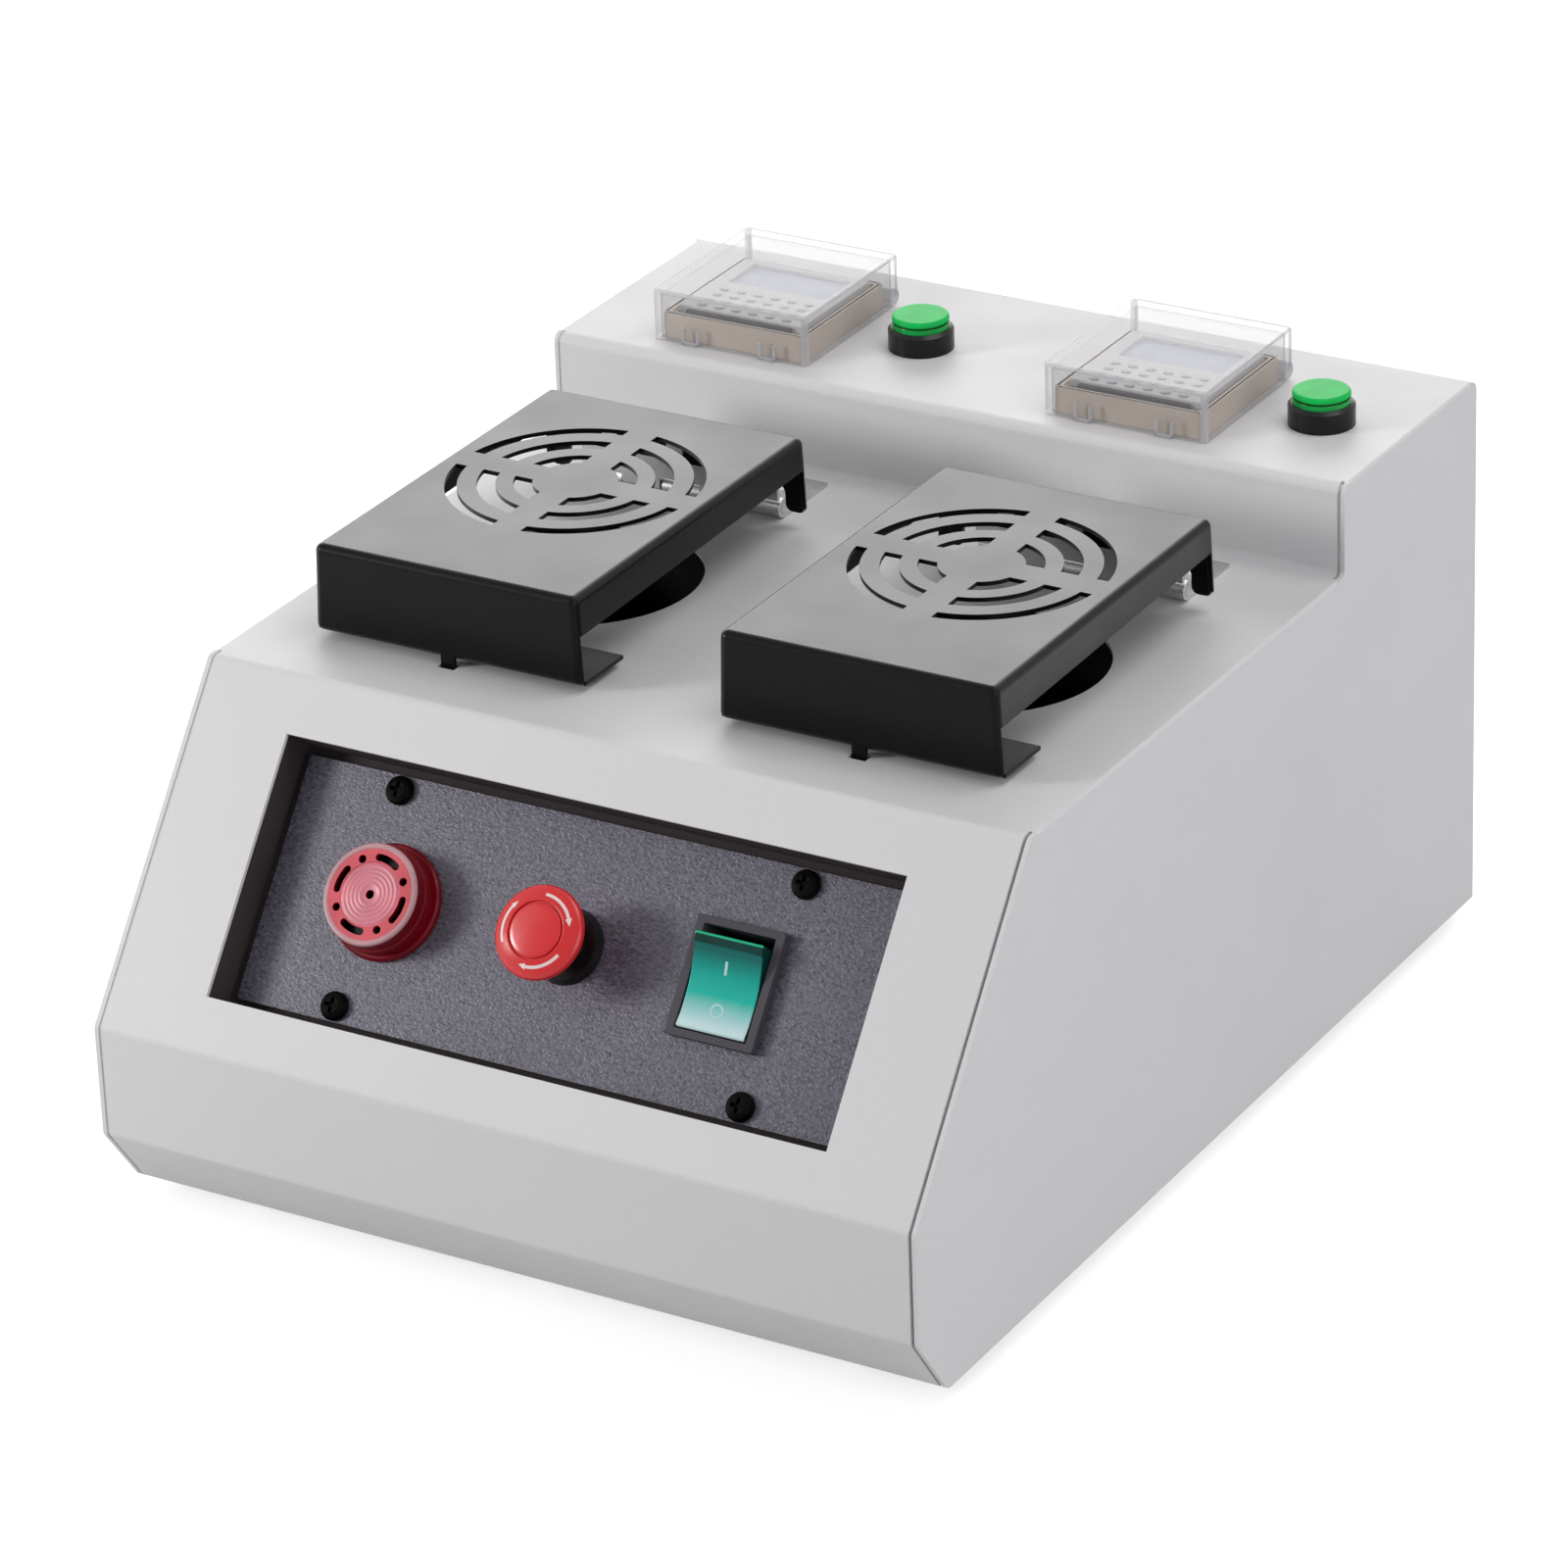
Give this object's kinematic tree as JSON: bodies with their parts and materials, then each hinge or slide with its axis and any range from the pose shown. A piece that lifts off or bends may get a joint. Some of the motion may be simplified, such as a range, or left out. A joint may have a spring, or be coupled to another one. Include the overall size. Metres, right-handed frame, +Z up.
{
  "type": "solder paste thawing machine",
  "caption": "Bench machine that thaws solder-paste jars in lidded wells, with a sloped control panel, timers under clear flip covers, start buttons, buzzer, emergency stop and power switch.",
  "frame": {"origin": "middle of the footprint, on the plane that the feet rest on", "axes": "+X to the right seen from the front, +Y from the sloped front to the rear panel, +Z up"},
  "size_m": [0.24, 0.3144, 0.1738],
  "materials": {
    "housing_coat": "satin powder coat, light grey",
    "base_steel": "zinc plated",
    "fastener_steel": "zinc plated",
    "black_screws": "black oxide",
    "foot_rubber": "matte",
    "panel_coat": "matte textured, dark grey",
    "surround_plastic": "matte black",
    "lens_red": "gloss translucent red",
    "stop_red": "gloss red",
    "black_plastic": "semi-gloss black",
    "stem_steel": "turned",
    "rocker_green": "gloss translucent green",
    "well_coat": "satin black",
    "lid_coat": "satin black powder coat",
    "hinge_steel": "bright",
    "solenoid_steel": "zinc plated",
    "timer_beige": "satin beige",
    "timer_face": "satin off-white",
    "lcd_glass": "gloss blue-grey",
    "key_grey": "satin grey",
    "cover_clear": "clear",
    "button_green": "gloss bright green",
    "supply_case": "satin",
    "board": "solder mask green",
    "standoff_brass": "turned"
  },
  "bodies": {
    "base": {"housing_wrap": "housing_coat", "left_side_panel": "housing_coat", "right_side_panel": "housing_coat", "rear_panel": "housing_coat", "base_plate": "base_steel", "rear_screws": "fastener_steel", "base_screws": "fastener_steel", "rubber_feet": "foot_rubber", "foot_screws": "fastener_steel", "panel_surround": "surround_plastic", "control_panel": "panel_coat", "panel_screws": "black_screws", "buzzer_body": "surround_plastic", "buzzer_lens": "lens_red", "buzzer_nut": "surround_plastic", "stop_body": "black_plastic", "stop_nut": "surround_plastic", "rocker_frame": "surround_plastic", "left_well_cup": "well_coat", "right_well_cup": "well_coat", "lid_bumpers": "foot_rubber", "left_hinge_base": "hinge_steel", "right_hinge_base": "hinge_steel", "left_hinge_pin": "hinge_steel", "right_hinge_pin": "hinge_steel", "hinge_screws": "fastener_steel", "left_latch_solenoid": "solenoid_steel", "right_latch_solenoid": "solenoid_steel", "left_timer_case": "timer_beige", "right_timer_case": "timer_beige", "left_timer_face": "timer_face", "right_timer_face": "timer_face", "left_timer_lcd": "lcd_glass", "right_timer_lcd": "lcd_glass", "left_timer_keypad": "key_grey", "right_timer_keypad": "key_grey", "timer_clips": "surround_plastic", "left_button_body": "black_plastic", "right_button_body": "black_plastic", "button_nuts": "surround_plastic", "power_inlet": "surround_plastic", "power_supply": "supply_case", "control_board": "board", "board_standoffs": "standoff_brass"},
    "left_lid_body": {"left_lid": "lid_coat", "left_hinge_leaf": "hinge_steel", "left_lid_rivets": "fastener_steel"},
    "right_lid_body": {"right_lid": "lid_coat", "right_hinge_leaf": "hinge_steel", "right_lid_rivets": "fastener_steel"},
    "left_timer_cover_body": {"left_timer_cover": "cover_clear"},
    "right_timer_cover_body": {"right_timer_cover": "cover_clear"},
    "stop_plunger_body": {"stop_plunger": "stem_steel"},
    "stop_head_body": {"stop_head": "stop_red"},
    "power_rocker_body": {"power_rocker": "rocker_green"},
    "left_start_button_body": {"left_start_button": "button_green"},
    "right_start_button_body": {"right_start_button": "button_green"},
    "left_latch_plunger_body": {"left_latch_plunger": "stem_steel"},
    "right_latch_plunger_body": {"right_latch_plunger": "stem_steel"}
  },
  "joints": [
    {"name": "left_lid_hinge", "type": "hinge", "parent": "base", "child": "left_lid_body", "pos_m": [-0.0603, 0.0428, 0.1368], "axis": [-1, 0, 0], "range_deg": [0, 95]},
    {"name": "left_timer_cover_hinge", "type": "hinge", "parent": "base", "child": "left_timer_cover_body", "pos_m": [-0.0692, 0.1312, 0.1619], "axis": [-1, 0, 0], "range_deg": [0, 90]},
    {"name": "left_start_button_press", "type": "slide", "parent": "base", "child": "left_start_button_body", "axis": [0, 0, -1], "range_m": [0, 0.0024], "stiffness_N_per_m": 300},
    {"name": "left_latch_slide", "type": "slide", "parent": "base", "child": "left_latch_plunger_body", "axis": [0, -1, 0], "range_m": [0, 0.0045], "stiffness_N_per_m": 100},
    {"name": "right_lid_hinge", "type": "hinge", "parent": "base", "child": "right_lid_body", "pos_m": [0.0603, 0.0428, 0.1368], "axis": [-1, 0, 0], "range_deg": [0, 95]},
    {"name": "right_timer_cover_hinge", "type": "hinge", "parent": "base", "child": "right_timer_cover_body", "pos_m": [0.0514, 0.1312, 0.1619], "axis": [-1, 0, 0], "range_deg": [0, 90]},
    {"name": "right_start_button_press", "type": "slide", "parent": "base", "child": "right_start_button_body", "axis": [0, 0, -1], "range_m": [0, 0.0024], "stiffness_N_per_m": 300},
    {"name": "right_latch_slide", "type": "slide", "parent": "base", "child": "right_latch_plunger_body", "axis": [0, -1, 0], "range_m": [0, 0.0045], "stiffness_N_per_m": 100},
    {"name": "stop_press", "type": "slide", "parent": "base", "child": "stop_plunger_body", "axis": [0, 0.7898, -0.6133], "range_m": [0, 0.004]},
    {"name": "stop_twist", "type": "hinge", "parent": "stop_plunger_body", "child": "stop_head_body", "pos_m": [0, -0.1281, 0.09468], "axis": [0, -0.7898, 0.6133], "range_deg": [0, 45], "stiffness_Nm_per_rad": 0.02},
    {"name": "power_rocker_tilt", "type": "hinge", "parent": "base", "child": "power_rocker_body", "pos_m": [0.0468, -0.11705, 0.08609], "axis": [-1, 0, 0], "range_deg": [0, 20]}
  ]
}
